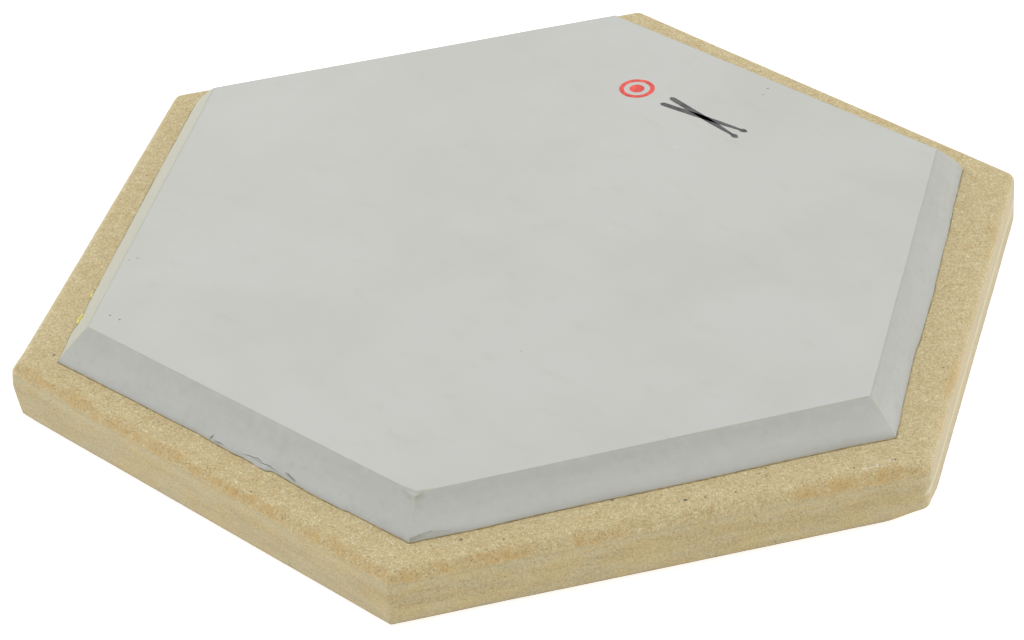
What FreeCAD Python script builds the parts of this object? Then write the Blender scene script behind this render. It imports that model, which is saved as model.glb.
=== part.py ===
"""Practice pad for drummers: a hexagonal MDF board with a bevelled slab of gum rubber.

Frame: millimetres, origin under the middle of the board on the plane that the feet stand on,
+Z up, -Y towards the player, +X across two opposite corners of the board.
The whole pad is one rigid body.
"""
import FreeCAD, Part
import math
import os

SIDES = 6

# Board: a hexagon of 15 mm MDF, its top edge rounded over with a 1/8 inch router bit
board_corner_radius = 140.0     # centre to corner
board_thickness = 15.0
round_over = 3.2
underside_chamfer = 0.2

# Playing pad: a slab of gum rubber, each side cut by hand with the knife held at a slant.
# One (distance, turn, run) per side, going round from the player's side: how far its edge on the top
# face lies from the centre, how many degrees it is turned from the board's side below it, and how far
# the side comes in from the bottom face to the top face.
pad_thickness = 8.5
pad_sides = [
    (102.7, 2.0, 7.9),
    (101.1, 1.0, 7.9),
    (102.1, 1.4, 7.1),
    (104.0, 1.4, 7.3),
    (105.2, 0.0, 7.3),
    (103.8, 1.6, 7.4),
]
glue_thickness = 0.2
glue_margin = 0.6               # the glue shows this far past the slab

# Print: a ring with a dot, and two drumsticks that cross, on the far side of the top face
print_thickness = 0.05
ring_centre = (-29.4, 76.2)
ring_outer_radius = 5.0
ring_inner_radius = 3.7
dot_radius = 2.1
sticks_centre = (-4.5, 76.6)
stick_length = 29.0
stick_butt_width = 1.7
stick_neck_width = 0.9
stick_taper_length = 9.0
stick_tip_length = 2.4
stick_tip_width = 1.6
stick_angle = 8.0               # each stick's slant to the X axis

# Tee nut, M8, in a hole through the middle of the board, flange under the slab
thread_radius = 3.4             # wall of an M8 tapping hole
barrel_radius = 5.0
nut_height = 11.0
flange_radius = 11.0
flange_thickness = 1.5
prong_count = 4
prong_width = 4.5
prong_thickness = 1.2
prong_depth = 7.0
board_hole_radius = 5.2

# Feet: self-adhesive rubber discs near the corners
foot_radius = 8.0
foot_height = 1.5
foot_chamfer = 0.4
foot_circle = 118.0
tape_radius = 7.5
tape_thickness = 0.2

# Levels, counted up from the feet
board_bottom = foot_height + tape_thickness
board_top = board_bottom + board_thickness
pad_bottom = board_top + glue_thickness
pad_top = pad_bottom + pad_thickness

UP = FreeCAD.Vector(0, 0, 1)


def polygon_face(points, z):
    """Flat face through a list of (x, y) points at height z."""
    corners = [FreeCAD.Vector(x, y, z) for x, y in points]
    return Part.Face(Part.makePolygon(corners + corners[:1]))


def prism(points, z, height):
    return polygon_face(points, z).extrude(UP * height)


def polar(radius, degrees):
    angle = math.radians(degrees)
    return radius * math.cos(angle), radius * math.sin(angle)


def board_corners():
    return [polar(board_corner_radius, 360.0 / SIDES * i) for i in range(SIDES)]


def pad_corners(depth, outset=0.0):
    """Corners of the hand-cut hexagon at a share of its depth, 0 on top, with every side moved out by outset."""
    lines = []
    for i, (distance, turn, run) in enumerate(pad_sides):
        normal_angle = math.radians(-90.0 + 360.0 / SIDES * i + turn)
        lines.append((math.cos(normal_angle), math.sin(normal_angle), distance + depth * run + outset))
    corners = []
    for i in range(SIDES):
        a1, b1, c1 = lines[i]
        a2, b2, c2 = lines[(i + 1) % SIDES]
        determinant = a1 * b2 - a2 * b1
        x = (c1 * b2 - c2 * b1) / determinant
        y = (a1 * c2 - a2 * c1) / determinant
        corners.append((x, y))
    return corners


def level_edges(solid, z):
    """Edges of a solid that lie wholly at height z."""
    tolerance = 1e-6
    found = []
    for edge in solid.Edges:
        box = edge.BoundBox
        if abs(box.ZMin - z) < tolerance and abs(box.ZMax - z) < tolerance:
            found.append(edge)
    return found


def make_tee_nut():
    """Barrel with a threaded bore, a round flange on top and prongs bent down from its rim."""
    nut_bottom = board_top - nut_height
    barrel = Part.makeCylinder(barrel_radius, nut_height, FreeCAD.Vector(0, 0, nut_bottom))
    flange_base = FreeCAD.Vector(0, 0, board_top - flange_thickness)
    flange = Part.makeCylinder(flange_radius, flange_thickness, flange_base)
    nut = barrel.fuse(flange)
    rim = Part.makeCylinder(flange_radius, prong_depth, FreeCAD.Vector(0, 0, board_top - prong_depth))
    for i in range(prong_count):
        block = Part.makeBox(prong_thickness, prong_width, prong_depth)
        block.translate(FreeCAD.Vector(flange_radius - prong_thickness, -prong_width / 2, board_top - prong_depth))
        prong = block.common(rim)
        prong.rotate(FreeCAD.Vector(0, 0, 0), UP, 360.0 / prong_count * i + 45.0)
        nut = nut.fuse(prong)
    bore = Part.makeCylinder(thread_radius, nut_height, FreeCAD.Vector(0, 0, nut_bottom))
    return nut.cut(bore).removeSplitter()


def make_board(tee_nut):
    """Hexagonal board, rounded over on top, with the nut's hole, its counterbore and the prongs' slits."""
    board = prism(board_corners(), board_bottom, board_thickness)
    board = board.makeFillet(round_over, level_edges(board, board_top))
    board = board.makeChamfer(underside_chamfer, level_edges(board, board_bottom))
    hole = Part.makeCylinder(board_hole_radius, board_thickness, FreeCAD.Vector(0, 0, board_bottom))
    counterbore_base = FreeCAD.Vector(0, 0, board_top - flange_thickness)
    counterbore = Part.makeCylinder(flange_radius, flange_thickness, counterbore_base)
    return board.cut(hole).cut(counterbore).cut(tee_nut)


def make_playing_pad():
    """Slab whose six sides slope in from the bottom face to the top face."""
    bottom = [FreeCAD.Vector(x, y, pad_bottom) for x, y in pad_corners(1.0)]
    top = [FreeCAD.Vector(x, y, pad_top) for x, y in pad_corners(0.0)]
    lower_wire = Part.makePolygon(bottom + bottom[:1])
    upper_wire = Part.makePolygon(top + top[:1])
    return Part.makeLoft([lower_wire, upper_wire], True, True)


def make_glue():
    return prism(pad_corners(1.0, glue_margin), board_top, glue_thickness)


def make_printed_ring():
    base = FreeCAD.Vector(ring_centre[0], ring_centre[1], pad_top)
    disc = Part.makeCylinder(ring_outer_radius, print_thickness, base)
    ring = disc.cut(Part.makeCylinder(ring_inner_radius, print_thickness, base))
    dot = Part.makeCylinder(dot_radius, print_thickness, base)
    return Part.makeCompound([ring, dot])


def stick_outline():
    """Half outline of a drumstick along +X, from the middle of its butt to the end of its tip."""
    butt = -stick_length / 2
    tip_start = stick_length / 2 - stick_tip_length
    taper_start = tip_start - stick_taper_length
    tip_middle = tip_start + stick_tip_length / 2
    return [
        (butt, stick_butt_width / 2),
        (taper_start, stick_butt_width / 2),
        (tip_start, stick_neck_width / 2),
        (tip_middle, stick_tip_width / 2),
        (stick_length / 2, stick_neck_width / 4),
    ]


def make_printed_sticks():
    half = stick_outline()
    outline = half + [(x, -y) for x, y in reversed(half)]
    stick = prism(outline, pad_top, print_thickness)
    middle = FreeCAD.Vector(0, 0, pad_top)
    first = stick.copy()
    first.rotate(middle, UP, stick_angle)
    second = stick.copy()
    second.rotate(middle, UP, -stick_angle)
    pair = first.fuse(second).removeSplitter()
    pair.translate(FreeCAD.Vector(sticks_centre[0], sticks_centre[1], 0))
    return pair


def foot_place(index):
    return polar(foot_circle, 360.0 / SIDES * index)


def make_foot(index):
    x, y = foot_place(index)
    foot = Part.makeCylinder(foot_radius, foot_height, FreeCAD.Vector(x, y, 0))
    return foot.makeChamfer(foot_chamfer, level_edges(foot, 0))


def make_foot_tapes():
    tapes = []
    for index in range(SIDES):
        x, y = foot_place(index)
        tapes.append(Part.makeCylinder(tape_radius, tape_thickness, FreeCAD.Vector(x, y, foot_height)))
    return Part.makeCompound(tapes)


def build_nodes():
    tee_nut = make_tee_nut()
    nodes = {
        "base_board": make_board(tee_nut),
        "tee_nut": tee_nut,
        "pad_adhesive": make_glue(),
        "playing_pad": make_playing_pad(),
        "printed_ring": make_printed_ring(),
        "printed_sticks": make_printed_sticks(),
        "foot_tapes": make_foot_tapes(),
    }
    for index in range(SIDES):
        nodes["foot_%d" % (index + 1)] = make_foot(index)
    return nodes


os.makedirs("parts", exist_ok=True)
for name, shape in build_nodes().items():
    shape.exportStep("parts/%s.step" % name)
    print(name, "valid" if shape.isValid() else "INVALID", len(shape.Solids), "solids", round(shape.Volume, 1), "mm3")
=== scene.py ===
# %% [markdown]
# # A drummer's practice pad
#
# The real object is simple and its surfaces are everything: a hexagon of bare fibreboard with a
# rounded-over edge, and a slab of grey gum rubber that somebody cut by hand and glued on slightly
# askew. This lesson dresses a CAD model of it. The CAD frame already holds every size and place, so
# each piece is modelled in metres, in that frame, and nothing is fitted afterwards.

# %% Load the frame
import math
from contextlib import contextmanager

import bmesh
import bpy
from mathutils import Matrix, Vector, noise


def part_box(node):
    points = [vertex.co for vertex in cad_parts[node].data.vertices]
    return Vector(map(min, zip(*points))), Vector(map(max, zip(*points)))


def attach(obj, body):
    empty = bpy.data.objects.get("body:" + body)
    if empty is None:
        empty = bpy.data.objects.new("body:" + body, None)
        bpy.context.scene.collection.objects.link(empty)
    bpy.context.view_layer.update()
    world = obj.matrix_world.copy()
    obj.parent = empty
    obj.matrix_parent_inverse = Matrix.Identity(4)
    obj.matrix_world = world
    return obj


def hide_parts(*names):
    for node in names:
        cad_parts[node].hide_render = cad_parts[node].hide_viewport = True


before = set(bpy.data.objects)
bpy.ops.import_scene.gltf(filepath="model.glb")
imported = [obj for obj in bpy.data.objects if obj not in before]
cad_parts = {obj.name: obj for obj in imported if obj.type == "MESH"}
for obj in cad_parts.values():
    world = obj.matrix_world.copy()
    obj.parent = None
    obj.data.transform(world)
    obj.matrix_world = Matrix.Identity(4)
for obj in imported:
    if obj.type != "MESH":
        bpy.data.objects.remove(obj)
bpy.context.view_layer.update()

MM = 0.001
print("CAD nodes:", ", ".join(sorted(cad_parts)))

# %% [markdown]
# ## Levels and outlines come from the frame
#
# The board, the glue and the slab lie on top of each other. Reading their heights from the CAD boxes,
# instead of typing them again, keeps the looks and the design together if the design changes.

# %% Heights and radii read from the CAD nodes
board_low, board_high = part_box("base_board")
slab_low, slab_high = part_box("playing_pad")
BOARD_BOTTOM, BOARD_TOP = board_low.z, board_high.z
SLAB_BOTTOM, SLAB_TOP = slab_low.z, slab_high.z
BOARD_RADIUS = board_high.x
SIDES = 6
SIDE_ANGLE = 360 / SIDES
HALF_SIDE_ANGLE = math.radians(SIDE_ANGLE / 2)
ROUND_OVER = 3.2 * MM
SAME_LEVEL = 0.01 * MM
print("board %.1f to %.1f mm, slab %.1f to %.1f mm" % tuple(
    v / MM for v in (BOARD_BOTTOM, BOARD_TOP, SLAB_BOTTOM, SLAB_TOP)))


def corners_at(node, level):
    """The outline corners of a CAD node at one height, going round from the left end of the near side."""
    found = []
    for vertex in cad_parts[node].data.vertices:
        place = vertex.co
        new = all((place - other).length > 0.1 * MM for other in found)
        if new and abs(place.z - level) < SAME_LEVEL:
            found.append(place.copy())
    start = math.radians(-150)
    return sorted(found, key=lambda place: (math.atan2(place.y, place.x) - start) % (2 * math.pi))


slab_foot = corners_at("playing_pad", SLAB_BOTTOM)
slab_brow = corners_at("playing_pad", SLAB_TOP)
print("slab corners, bottom and top:", len(slab_foot), len(slab_brow))

# %% [markdown]
# ## A bench for editing by hand
#
# Blender's operators act on whatever is selected, and loading the frame leaves every CAD node
# selected. So the bench always deselects everything first, takes one piece, and picks faces or edges
# by a rule about where they are. That is what a person does with the mouse, written down.

# %% Bench helpers
def take(piece):
    bpy.ops.object.select_all(action="DESELECT")
    piece.select_set(True)
    bpy.context.view_layer.objects.active = piece


@contextmanager
def bench(piece, kind="FACE"):
    take(piece)
    bpy.ops.object.mode_set(mode="EDIT")
    bpy.ops.mesh.select_mode(type=kind)
    bpy.ops.mesh.select_all(action="DESELECT")
    yield
    bpy.ops.object.mode_set(mode="OBJECT")


def pick(piece, kind, rule):
    """In edit mode, selects the verts, edges or faces whose corners all pass the rule on their place."""
    mesh = bmesh.from_edit_mesh(piece.data)
    count = 0
    for item in getattr(mesh, kind):
        places = [item.co] if kind == "verts" else [vertex.co for vertex in item.verts]
        chosen = all(rule(place) for place in places)
        item.select_set(chosen)
        count += chosen
    bmesh.update_edit_mesh(piece.data)
    return count


def name_piece(name):
    piece = bpy.context.object
    piece.name = name
    piece.data.name = name
    return piece


def settle(piece):
    """Puts the piece's place into its mesh, so that its object sits unturned at the origin."""
    take(piece)
    bpy.ops.object.transform_apply(location=True, rotation=True, scale=True)
    return piece


def apply_modifier(piece, kind, **settings):
    take(piece)
    modifier = piece.modifiers.new(kind.lower(), kind)
    for key, value in settings.items():
        setattr(modifier, key, value)
    bpy.ops.object.modifier_apply(modifier=modifier.name)


def carve(piece, cutter):
    """Cuts one piece away from another and throws the cutter away."""
    apply_modifier(piece, "BOOLEAN", operation="DIFFERENCE", solver="EXACT", object=cutter)
    bpy.data.objects.remove(cutter)


def join(pieces):
    take(pieces[0])
    for piece in pieces[1:]:
        piece.select_set(True)
    bpy.ops.object.join()
    return pieces[0]


def smooth(piece, degrees):
    take(piece)
    bpy.ops.object.shade_smooth_by_angle(angle=math.radians(degrees))


def face_outwards(piece):
    with bench(piece):
        bpy.ops.mesh.select_all(action="SELECT")
        bpy.ops.mesh.remove_doubles(threshold=0.001 * MM)
        bpy.ops.mesh.normals_make_consistent(inside=False)


def ripple(place, wavelength, seed):
    """Smooth random value from -1 to 1 that changes over one wavelength."""
    return noise.noise(place / wavelength + Vector((seed, seed * 1.7, seed * 2.3)))

# %% [markdown]
# ## The board
#
# On the real pad this is a piece of 15 mm fibreboard: sawn to a hexagon, its top edge run past a
# small round-over bit, its underside arris just broken with sandpaper. A six-sided cylinder is
# already the sawn blank, and two bevels do what the router and the sandpaper did. The sides are then
# cut into short lengths, because an edge can only look used if it has points to move.

# %% Saw the blank and run the router round it
UNDERSIDE_BREAK = 0.12 * MM
bpy.ops.mesh.primitive_cylinder_add(
    vertices=SIDES, radius=BOARD_RADIUS, depth=BOARD_TOP - BOARD_BOTTOM,
    location=(0, 0, (BOARD_TOP + BOARD_BOTTOM) / 2), rotation=(0, 0, HALF_SIDE_ANGLE))
board = settle(name_piece("fibreboard_base"))
with bench(board, "EDGE"):
    pick(board, "edges", lambda p: p.z > BOARD_TOP - 0.1 * MM)
    bpy.ops.mesh.bevel(offset=ROUND_OVER, segments=10, profile=0.5)
    bpy.ops.mesh.select_all(action="DESELECT")
    pick(board, "edges", lambda p: p.z < BOARD_BOTTOM + 0.1 * MM)
    bpy.ops.mesh.bevel(offset=UNDERSIDE_BREAK, segments=2, profile=0.5)
print("blank:", len(board.data.polygons), "faces")


# %% Cut the long edges into short lengths
SHORT_LENGTHS = 80


def along_a_side(edge):
    """True for an edge that runs along a side, not one that climbs a corner."""
    a, b = (vertex.co for vertex in edge.verts)
    return (a - b).length > BOARD_RADIUS * 0.43


with bench(board, "EDGE"):
    mesh = bmesh.from_edit_mesh(board.data)
    for edge in mesh.edges:
        edge.select_set(along_a_side(edge))
    bmesh.update_edit_mesh(board.data)
    bpy.ops.mesh.subdivide(number_cuts=SHORT_LENGTHS - 1)
print("board cut into", len(board.data.vertices), "points")

# %% [markdown]
# The corners of a hand-sanded board are never knife sharp. More points are cut in near each corner,
# and every one that stands outside a rounding circle is laid onto it. Each corner has its own radius,
# as nobody sands six corners alike.

# %% Sand the six upright corners round
# Radius in mm of each upright corner, going round from the player's right
CORNER_ROUNDING = [3.8, 2.6, 3.0, 3.2, 1.6, 0.7]
BOARD_APOTHEM = BOARD_RADIUS * math.cos(HALF_SIDE_ANGLE)
CORNER_REACH = 10 * MM


def heading(degrees):
    """A level direction, counted from the X axis."""
    return Vector((math.cos(math.radians(degrees)), math.sin(math.radians(degrees)), 0))


corner_directions = [heading(SIDE_ANGLE * i) for i in range(SIDES)]
side_normals = [heading(SIDE_ANGLE * (i + 0.5)) for i in range(SIDES)]


def near_a_corner(place, reach):
    return any((place.xy - (direction * BOARD_RADIUS).xy).length < reach for direction in corner_directions)


with bench(board, "EDGE"):
    print("edges near corners:", pick(board, "edges", lambda p: near_a_corner(p, CORNER_REACH)))
    bpy.ops.mesh.subdivide(number_cuts=2)


def sanded(place, direction, radius):
    """The place of a point after its corner is sanded to a radius."""
    inset = BOARD_APOTHEM - max(place.dot(normal) for normal in side_normals)
    reach = radius - inset
    if reach <= 0:
        return place
    centre = direction * (BOARD_RADIUS - radius / math.cos(HALF_SIDE_ANGLE))
    spoke = Vector((place.x, place.y, 0)) - centre
    if spoke.length <= reach or spoke.normalized().dot(direction) < math.cos(HALF_SIDE_ANGLE):
        return place
    spoke = spoke.normalized() * reach
    return Vector((centre.x + spoke.x, centre.y + spoke.y, place.z))


for direction, radius in zip(corner_directions, CORNER_ROUNDING):
    for vertex in board.data.vertices:
        vertex.co = sanded(vertex.co, direction, radius * MM)
board.data.update()

# %% [markdown]
# Two corners of this pad have been dropped on: their lower arris is pushed in over about a centimetre,
# and the left one has swollen a little half way up. A translate with proportional editing does the
# knock, as a dent fades out round the place that was hit.

# %% Knock two of the lower corners
# Corner number, height of the blow in mm, push along x, y and z in mm, reach in mm
KNOCKS = [
    (0, 0.0, -0.6, 0.0, 1.0, 11.0),
    (4, 8.3, -1.0, 0.0, 0.0, 9.0),
    (4, 0.0, 1.7, 0.0, 0.1, 7.0),
]
# A sanded corner stands back from the sharp one by this share of its radius
CORNER_SETBACK = 0.155
HAMMER_RADIUS = 1.4 * MM

for corner, height, x, y, z, reach in KNOCKS:
    direction = corner_directions[corner]
    struck = direction * (BOARD_RADIUS - CORNER_SETBACK * CORNER_ROUNDING[corner] * MM)
    struck.z = BOARD_BOTTOM + height * MM
    with bench(board, "VERT"):
        print("struck points:", pick(board, "verts", lambda p: (p - struck).length < HAMMER_RADIUS))
        bpy.ops.transform.translate(
            value=Vector((x, y, z)) * MM, use_proportional_edit=True,
            proportional_edit_falloff="SMOOTH", proportional_size=reach * MM)


# %% Make the sawn faces and the rounded edge slightly uneven
WAVER_INSET = 0.03 * MM


def waver(place):
    """How far a point on the board's edge stands in or out: saw marks, sanding, small knocks."""
    slow = 0.08 * ripple(place, 26 * MM, 1.0)
    quick = 0.05 * ripple(place, 4.5 * MM, 2.0)
    return (slow + quick) * MM


for vertex in board.data.vertices:
    place = vertex.co
    if place.xy.length < BOARD_RADIUS * 0.7:
        continue
    flat = place.z > BOARD_TOP - 0.001 * MM or place.z < BOARD_BOTTOM + 0.001 * MM
    outward = Vector((place.x, place.y, 0)).normalized()
    vertex.co = place + outward * (waver(place) - WAVER_INSET) * (0.5 if flat else 1.0)
board.data.update()

# %% [markdown]
# Underneath, a tee nut is let in from above, so the board has a through hole, a shallow counterbore
# for the nut's flange. Boolean cuts with plain cylinders are the two drills. The slits that the
# prongs bit are left out, since the nut hides them: the prongs just pass into the fibre.

# %% Drill for the tee nut
nut_low, nut_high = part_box("tee_nut")
FLANGE_RADIUS = nut_high.x
FLANGE_DEPTH = 1.5 * MM
HOLE_RADIUS = 5.2 * MM
FLANGE_CLEARANCE = 0.05 * MM


def drill(radius, low, high, vertices=64):
    bpy.ops.mesh.primitive_cylinder_add(
        vertices=vertices, radius=radius, depth=high - low, location=(0, 0, (high + low) / 2))
    return settle(name_piece("drill"))


carve(board, drill(HOLE_RADIUS, BOARD_BOTTOM - 1 * MM, BOARD_TOP + 1 * MM))
carve(board, drill(FLANGE_RADIUS + FLANGE_CLEARANCE, BOARD_TOP - FLANGE_DEPTH, BOARD_TOP + 1 * MM))
print("drilled board:", len(board.data.polygons), "faces")

# %% [markdown]
# Four small injuries are deep enough to be real shape: a torn-out chip with a nick beside it near the
# right of the rim, and two by the player's side. A lumpy little ball pressed into the surface and cut
# away leaves a ragged pit, which a smooth ball would not.

# %% Chip the rim
# x, y in mm, length and width in mm, and the direction of its length in degrees
CHIPS = [
    (129.4, -10.6, 3.6, 1.0, 62),
    (131.6, -5.0, 0.9, 0.6, 30),
    (18.4, -119.6, 1.5, 0.8, 5),
    (60.9, -118.6, 2.2, 0.45, 20),
]
CHIP_DEPTH = 0.28 * MM


def chip_cutter(x, y, length, width, direction):
    bpy.ops.mesh.primitive_ico_sphere_add(subdivisions=3, radius=1.0)
    cutter = name_piece("chip_cutter")
    for vertex in cutter.data.vertices:
        vertex.co *= 1 + 0.35 * noise.noise(vertex.co * 1.7 + Vector((x, y, 0)))
    cutter.scale = (length * MM / 2, width * MM / 2, CHIP_DEPTH)
    cutter.rotation_euler = (0, 0, math.radians(direction))
    cutter.location = (x * MM, y * MM, BOARD_TOP - 0.02 * MM)
    return settle(cutter)


for chip in CHIPS:
    carve(board, chip_cutter(*chip))
smooth(board, 28)
print("finished board:", len(board.data.polygons), "faces")

# %% [markdown]
# ## The gum-rubber slab
#
# The slab was cut with a knife held at a slant, so its six sides slope, wander a little, and end in
# small steps where the knife was set down again. Near the corners the slanted cut stopped short of
# the glue line and left a low upright lip. A cylinder can't carry that, so the slab starts as a
# many-pointed disc, is pulled up ring by ring with extrude, and each ring is then laid along the
# hand-cut outline by a rule.

# %% The stack of rings
POINTS_PER_SIDE = 160
ARRIS = 0.22 * MM
# Outward bulge in mm of each side's cut, as a knife that is turned slowly upright leaves it
SLOPE_BULGES = [0.28, 0.30, 0.26, 0.3, 0.3, 0.3]
# Heights of the rings above the lip, as shares of the way up the slope
SLOPE_SHARES = [0.12, 0.25, 0.38, 0.5, 0.62, 0.74, 0.86, 0.94]
LEVELS = 2 + len(SLOPE_SHARES) + 3


def pull_up_disc(name, points_per_side, rings):
    """A disc pulled up ring by ring, one millimetre at a time."""
    bpy.ops.mesh.primitive_circle_add(
        vertices=SIDES * points_per_side, radius=0.1, fill_type="NGON", location=(0, 0, 0))
    disc = name_piece(name)
    with bench(disc):
        bpy.ops.mesh.select_all(action="SELECT")
        for ring in range(rings - 1):
            bpy.ops.mesh.extrude_region_move(TRANSFORM_OT_translate={"value": (0, 0, 1 * MM)})
    return disc


def lay_along(disc, points_per_side, rule):
    """Moves each point of a pulled-up disc to where the rule puts its side, share along it and ring."""
    for vertex in disc.data.vertices:
        place = vertex.co
        level = round(place.z / MM)
        turn = (math.atan2(place.y, place.x) - math.pi / 2) % (2 * math.pi)
        step = round(turn / (2 * math.pi) * SIDES * points_per_side) % (SIDES * points_per_side)
        side, along = divmod(step, points_per_side)
        vertex.co = rule(side, along / points_per_side, level)
    disc.data.update()
    face_outwards(disc)


slab = pull_up_disc("gum_rubber_slab", POINTS_PER_SIDE, LEVELS)
print("slab rings:", LEVELS, "points:", len(slab.data.vertices))

# %% [markdown]
# Where the lip stands and how the foot of the cut wanders are few enough to write down: each number
# names a side, how far along it, and how much. Sides are counted from the player's side,
# anticlockwise, and "along" runs from 0 to 1 in the same direction.

# %% The marks that the knife left
# side, along, half length along, height in mm of the upright lip
LIPS = [
    (0, 0.96, 0.06, 0.35),
    (1, 0.045, 0.060, 1.15),
    (1, 0.42, 0.09, 0.35),
    (1, 0.93, 0.14, 0.6),
    (2, 0.05, 0.06, 0.35),
    (2, 0.93, 0.05, 0.5),
    (3, 0.5, 0.2, 0.4),
    (4, 0.2, 0.1, 0.5),
    (5, 0.7, 0.15, 0.4),
]
# Height in mm of the lip elsewhere, side by side
PLAIN_LIP = [0.16, 0.36, 0.18, 0.25, 0.25, 0.25]
# How far the lip leans in, as a share of its height
LIP_LEAN = 0.30
# How far in mm the foot of each side stands outside its straight line: (along, outwards)
FOOT_WANDER = [
    [(0, 0.0), (0.42, -0.2), (0.45, 0.0), (0.52, 0.35), (0.541, 0.1), (0.568, 0.3), (0.612, 0.6),
     (0.622, -0.2), (0.645, -0.25), (0.68, 0.0), (0.74, 0.35), (0.828, 0.35), (0.834, 0.0), (1, 0.0)],
    [(0, 0.0), (0.13, 0.3), (0.25, -0.1), (0.45, -0.15), (0.6, 0.0), (0.74, -0.35), (0.9, -0.4), (1, 0.05)],
    [(0, 0.05), (0.05, -0.05), (0.16, -0.45), (0.31, -0.65), (0.33, -0.25), (0.42, 0.0), (0.52, 0.15),
     (0.56, -0.1), (0.74, -0.1), (0.85, -0.45), (1, -0.6)],
    [(0, -0.6), (0.2, 0.1), (0.35, 0.3), (0.37, 0.0), (0.7, -0.2), (1, 0.0)],
    [(0, 0.0), (0.3, 0.25), (0.45, 0.2), (0.46, -0.1), (0.8, 0.1), (1, -0.2)],
    [(0, -0.2), (0.2, 0.0), (0.5, 0.1), (0.8, 0.0), (0.85, -0.35), (0.9, 0.45), (0.95, 0.1), (1, 0.0)],
]


def bump_shape(distance, half_width):
    share = min(abs(distance) / half_width, 1.0)
    return (1 - share * share) ** 2


def gap(side, along, other_side, other_along):
    """Distance along the outline, in side lengths, the short way round."""
    difference = (side + along) - (other_side + other_along)
    return (difference + SIDES / 2) % SIDES - SIDES / 2


def chart(points, along):
    """Reads a value off a list of (along, value) points joined by straight lines."""
    for (start, first), (end, second) in zip(points, points[1:]):
        if start <= along <= end:
            return first + (second - first) * (along - start) / (end - start)
    return points[-1][1]


def lip_height(side, along):
    height = PLAIN_LIP[side] + 0.10 * noise.noise(Vector(((side + along) * 9, 0, 0)))
    for other_side, other_along, half_length, top in LIPS:
        height += top * bump_shape(gap(side, along, other_side, other_along), half_length)
    return max(height, 0.05) * MM


def foot_wander(side, along):
    """The large part of the foot's shape, which the whole slope follows a little."""
    return chart(FOOT_WANDER[side], along) * MM


def foot_ragged(side, along):
    """The small part, which only the lowest rings follow."""
    place = Vector((side + along, 4.2, 0))
    coarse, fine = 0.10 * noise.noise(place * 17), 0.06 * noise.noise(place * 60)
    return (coarse + fine + 0.03 * noise.noise(place * 190)) * MM


def brow_shift(side, along):
    """How far the upper arris wanders, much less than the foot."""
    place = Vector((side + along, 9.1, 0))
    return (0.08 * noise.noise(place * 5) + 0.05 * noise.noise(place * 21)) * MM


# %% Lay every ring along the outline
# The front corner of the playing face was pressed outwards and droops. Shares are of a side's length.
PRESSED_CORNER = (1, 0.0)
PRESSED_HALF_WIDTH = 0.05
PRESSED_OUT = 0.75 * MM
PRESSED_DOWN = 0.30 * MM
PINCH = 0.38 * MM
CORNER_BLEND = 0.015


def outline_point(corners, side, along):
    return corners[side].lerp(corners[(side + 1) % SIDES], along)


def side_outward(side):
    run = slab_foot[(side + 1) % SIDES] - slab_foot[side]
    return Vector((run.y, -run.x, 0)).normalized()


def corner_outward(side, along):
    """Outward direction that turns evenly over the last 1.5% of each side, so shifts stay joined."""
    here = side_outward(side)
    if along < CORNER_BLEND:
        other, share = side_outward((side - 1) % SIDES), 0.5 + along / CORNER_BLEND / 2
    elif along > 1 - CORNER_BLEND:
        other, share = side_outward((side + 1) % SIDES), 0.5 + (1 - along) / CORNER_BLEND / 2
    else:
        return here
    return (other.lerp(here, share)).normalized()


def slab_point(side, along, level):
    outward = corner_outward(side, along)
    lip = lip_height(side, along)
    wander = foot_wander(side, along)
    foot = outline_point(slab_foot, side, along) + outward * (wander + foot_ragged(side, along))
    brow = outline_point(slab_brow, side, along) + outward * brow_shift(side, along)
    press = bump_shape(gap(side, along, *PRESSED_CORNER), PRESSED_HALF_WIDTH)
    brow += outward * PRESSED_OUT * press
    brow_height = SLAB_TOP - PRESSED_DOWN * press
    if level == 0:
        return Vector((foot.x, foot.y, SLAB_BOTTOM))
    slope_foot = Vector((foot.x, foot.y, SLAB_BOTTOM + lip)) - outward * LIP_LEAN * lip
    if level == 1:
        return slope_foot
    slope_top = Vector((brow.x, brow.y, brow_height))
    if level < 2 + len(SLOPE_SHARES):
        share = SLOPE_SHARES[level - 2]
        point = slope_foot.lerp(slope_top, share)
        straighten = wander * (1 - share) * (1 - max(0, 1 - share / 0.3))
        wave = SLOPE_BULGES[side] + 0.05 * noise.noise(Vector((side + along, share * 0.6, 2.0)) * 12)
        pinch = PINCH * press * bump_shape(share - 0.84, 0.2)
        return point + outward * (wave * 4 * share * (1 - share) * MM - straighten - pinch)
    top_level = level - 2 - len(SLOPE_SHARES)
    slope = (slope_top - slope_foot).normalized()
    if top_level == 0:
        return slope_top - slope * ARRIS
    if top_level == 1:
        return slope_top - outward * ARRIS * 0.45 - Vector((0, 0, 0.05 * MM))
    return Vector((brow.x, brow.y, SLAB_TOP)) - outward * ARRIS * (1.6 + 6 * press)


lay_along(slab, POINTS_PER_SIDE, slab_point)
print("slab shaped, %.1f mm across X" % (slab.dimensions.x / MM))

# %% [markdown]
# Where the rubber tore instead of cutting, a flap hangs on at the foot of the near side, with cracks
# behind it. A crack is a long thin spindle sunk into the slope and cut away: a ball with few
# segments, its poles pulled apart along the crack's path.

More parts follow.
